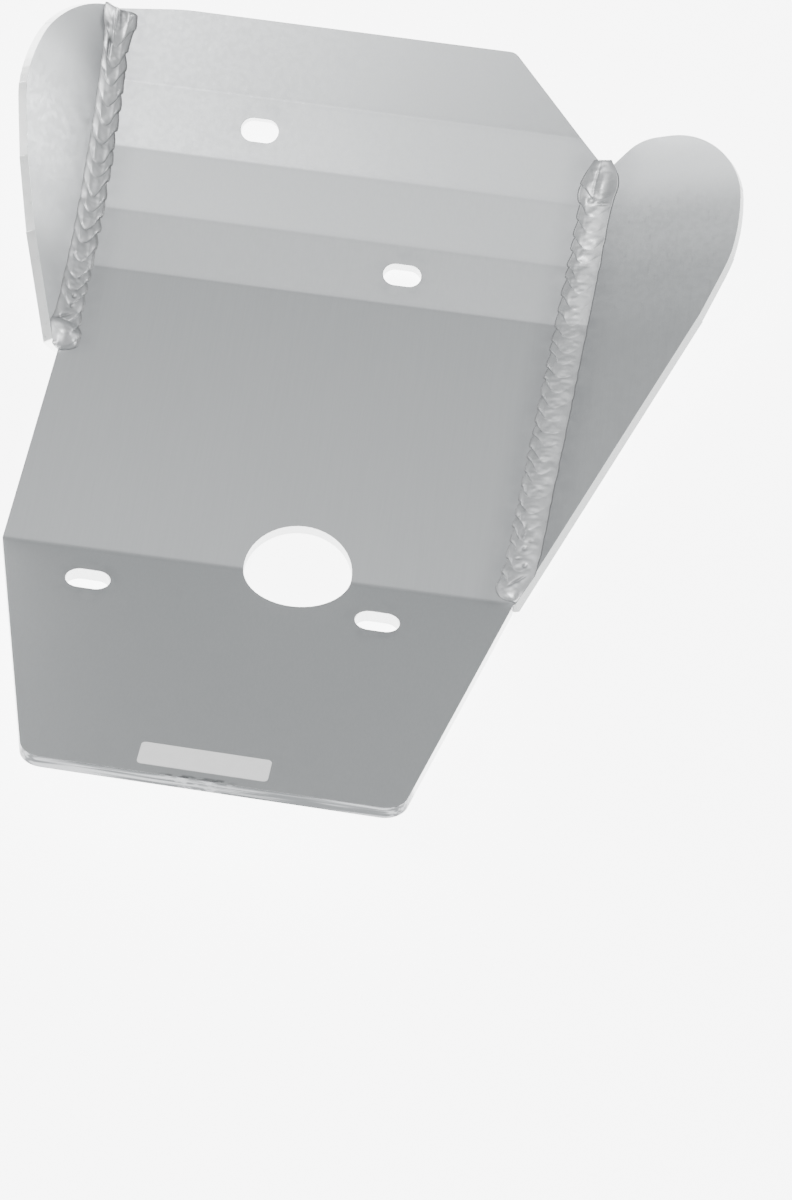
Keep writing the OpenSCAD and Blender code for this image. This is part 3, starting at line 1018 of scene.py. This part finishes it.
@dataclass
class SheetMetal:
    """The three aluminium sheets, which are CAD nodes with a better material."""

    form: PlateForm
    # The three finishes differ only in painted light and shade on their cut edges: darkest on the right
    # wing, lighter on the plate, brightest on the left wing.
    finish: MillAluminium = MillAluminium()
    plate_edge: MillAluminium = MillAluminium(edge_light_and_shade=(0.58, 0.585, 0.585, 1.0))
    highlight_edge: MillAluminium = MillAluminium(edge_light_and_shade=(0.86, 0.87, 0.86, 1.0))

    def dress(self, nodes: dict[str, bpy.types.Object]) -> list[str]:
        """Gives each sheet its material.

        Args:
            nodes: The CAD nodes by name.

        Returns:
            The names of the sheets.
        """
        folds = tuple(float(y) for y in self.form.folds()[:5, 0])
        rear = -self.form.belly_length / 2
        left_line = (-self.form.left_seam_x, 0.0, 0.0, rear + self.form.left_start * MM)
        right_line = (self.form.belly_width / 2, rear, math.tan(self.form.right_seam_turn), rear)
        left = (math.sin(self.form.left_flare), 0.0, math.cos(self.form.left_flare))
        right = (-math.sin(self.form.right_flare), 0.0, math.cos(self.form.right_flare))
        halos = (Halo(*left_line, 5.2 * MM), Halo(*right_line, 6.0 * MM))
        up, slots = (0.0, 0.0, 1.0), self.form.slots
        plate = self.plate_edge.material("plate_aluminium", up, folds, halos, slots, grime=Grime())
        self.assign(nodes["main_plate"], plate)
        bend, reach = self.form.front_bend, self.form.front_panel / 2
        turn = SmoothBend(self.form.left_flare, Side.LEFT.value, folds[1:], bend, reach)
        halo = Halo(*left_line, 3.4 * MM)
        wing = self.highlight_edge.material("left_wing_aluminium", left, (), (halo,), smooth=turn)
        self.assign(nodes["left_wing"], wing)
        turn = SmoothBend(self.form.right_flare, Side.RIGHT.value, folds[1:], bend, reach)
        halo = Halo(*right_line, 5.8 * MM)
        wing = self.finish.material("right_wing_aluminium", right, (), (halo,), smooth=turn)
        self.assign(nodes["right_wing"], wing)
        return ["main_plate", "left_wing", "right_wing"]

    def assign(self, thing: bpy.types.Object, material: bpy.types.Material) -> None:
        """Puts a material in every slot of an object."""
        for slot in thing.material_slots:
            slot.material = material


@dataclass
class RatingLabel:
    """The small film label near the rear edge, left without print."""

    finish: PlainLabel = PlainLabel()

    def dress(self, nodes: dict[str, bpy.types.Object]) -> str:
        """Gives the label its material.

        Args:
            nodes: The CAD nodes by name.

        Returns:
            The label's name.
        """
        for slot in nodes["label"].material_slots:
            slot.material = self.finish.material("label_film")
        return "label"


@dataclass
class Studio:
    """The pale floor, the soft lights and the camera."""

    eye: tuple[float, float, float] = (0.08428, -0.70316, 0.9934)
    turn: tuple[float, float, float] = (32.7275, -3.4350, 6.7064)
    focal_px: float = 3199.8
    centre_px: tuple[float, float] = (443.9, 592.2)
    frame_px: tuple[int, int] = (792, 1200)
    sensor_mm: float = 36.0
    table_half: float = 6.0
    table: tuple[float, float, float, float] = (0.90, 0.90, 0.90, 1.0)
    table_cloud: tuple[float, float, float, float] = (0.88, 0.88, 0.88, 1.0)
    table_glow: float = 6.5
    far_glow: float = 0.45
    glow_squares: tuple[float, float] = (0.25, 1.5)
    sky: float = 0.70
    sky_colour: tuple[float, float, float, float] = (0.97, 0.985, 1.0, 1.0)

    def floor(self) -> None:
        """A wide level floor that gives off light as a light table does.

        The glow goes from table_glow to far_glow between the two squared distances from the middle.
        """
        mesh = bpy.data.meshes.new("floor")
        r = self.table_half
        mesh.from_pydata([(-r, -r, 0), (r, -r, 0), (r, r, 0), (-r, r, 0)], [], [(0, 1, 2, 3)])
        mesh.update()
        floor = bpy.data.objects.new("floor", mesh)
        bpy.context.scene.collection.objects.link(floor)
        s = NodeSheet("floor_white")
        cloud = s.noise((1.2, 1.2, 1.2), 2.0)
        s.links.new(s.blend(cloud, self.table, self.table_cloud), s.shader.inputs["Base Color"])
        s.shader.inputs["Roughness"].default_value = 0.9
        s.shader.inputs["Emission Color"].default_value = (1.0, 1.0, 1.0, 1.0)
        place = s.split(s.coords.outputs["Object"])
        x_square, y_square = (s.math("MULTIPLY", place[i], place[i]) for i in (0, 1))
        square = s.math("ADD", x_square, y_square)
        glow = s.ramp(square, *self.glow_squares, self.table_glow, self.far_glow)
        s.links.new(glow, s.shader.inputs["Emission Strength"])
        mesh.materials.append(s.material)

    def softbox(self, name: str, at: tuple[float, float, float], size: float, power: float) -> None:
        """A square light aimed at the plate.

        Args:
            name: The light's name.
            at: Where it hangs.
            size: Its width.
            power: Its power in watts.
        """
        data = bpy.data.lights.new(name, "AREA")
        data.size = size
        data.energy = power
        lamp = bpy.data.objects.new(name, data)
        lamp.location = at
        away = np.array(at) / np.linalg.norm(at)
        lamp.rotation_euler = (math.acos(away[2]), 0.0, math.atan2(away[0], -away[1]))
        bpy.context.scene.collection.objects.link(lamp)

    def camera(self) -> None:
        """The camera at the photograph's viewing angle."""
        data = bpy.data.cameras.new("camera")
        long_side = max(self.frame_px)
        data.sensor_width = self.sensor_mm
        data.lens = self.focal_px * self.sensor_mm / long_side
        data.shift_x = (self.frame_px[0] / 2 - self.centre_px[0]) / long_side
        data.shift_y = (self.centre_px[1] - self.frame_px[1] / 2) / long_side
        camera = bpy.data.objects.new("camera", data)
        camera.location = self.eye
        camera.rotation_euler = tuple(math.radians(a) for a in self.turn)
        bpy.context.scene.collection.objects.link(camera)
        bpy.context.scene.camera = camera

    def build(self) -> None:
        """Builds the floor, the lights, the sky and the camera."""
        self.floor()
        self.softbox("key", (-0.53, -0.47, 1.44), 0.6, 13.6)
        self.softbox("overhead", (0.05, 0.27, 1.78), 1.5, 7.6)
        self.softbox("right_side", (1.40, 0.66, 0.2), 0.38, 9.0)
        self.softbox("left_side", (-1.27, 1.03, 0.16), 0.6, 7.0)
        world = bpy.data.worlds.new("studio")
        world.use_nodes = True
        background = world.node_tree.nodes["Background"]
        background.inputs["Color"].default_value = self.sky_colour
        background.inputs["Strength"].default_value = self.sky
        bpy.context.scene.world = world
        self.camera()


def main() -> None:
    """Builds everything in order and reports each piece."""
    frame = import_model()
    form = PlateForm()
    for sheet in SheetMetal(form).dress(frame["nodes"]):
        log.info("dressed %s", sheet)
    log.info("dressed %s", RatingLabel().dress(frame["nodes"]))
    finish = WeldMetal()
    for bead in (left_bead(form), right_bead(form)):
        log.info("built %s", bead.build(finish).name)
    Studio().build()


if __name__ == "__main__":
    logging.basicConfig(level=logging.INFO, format="%(message)s")
    main()
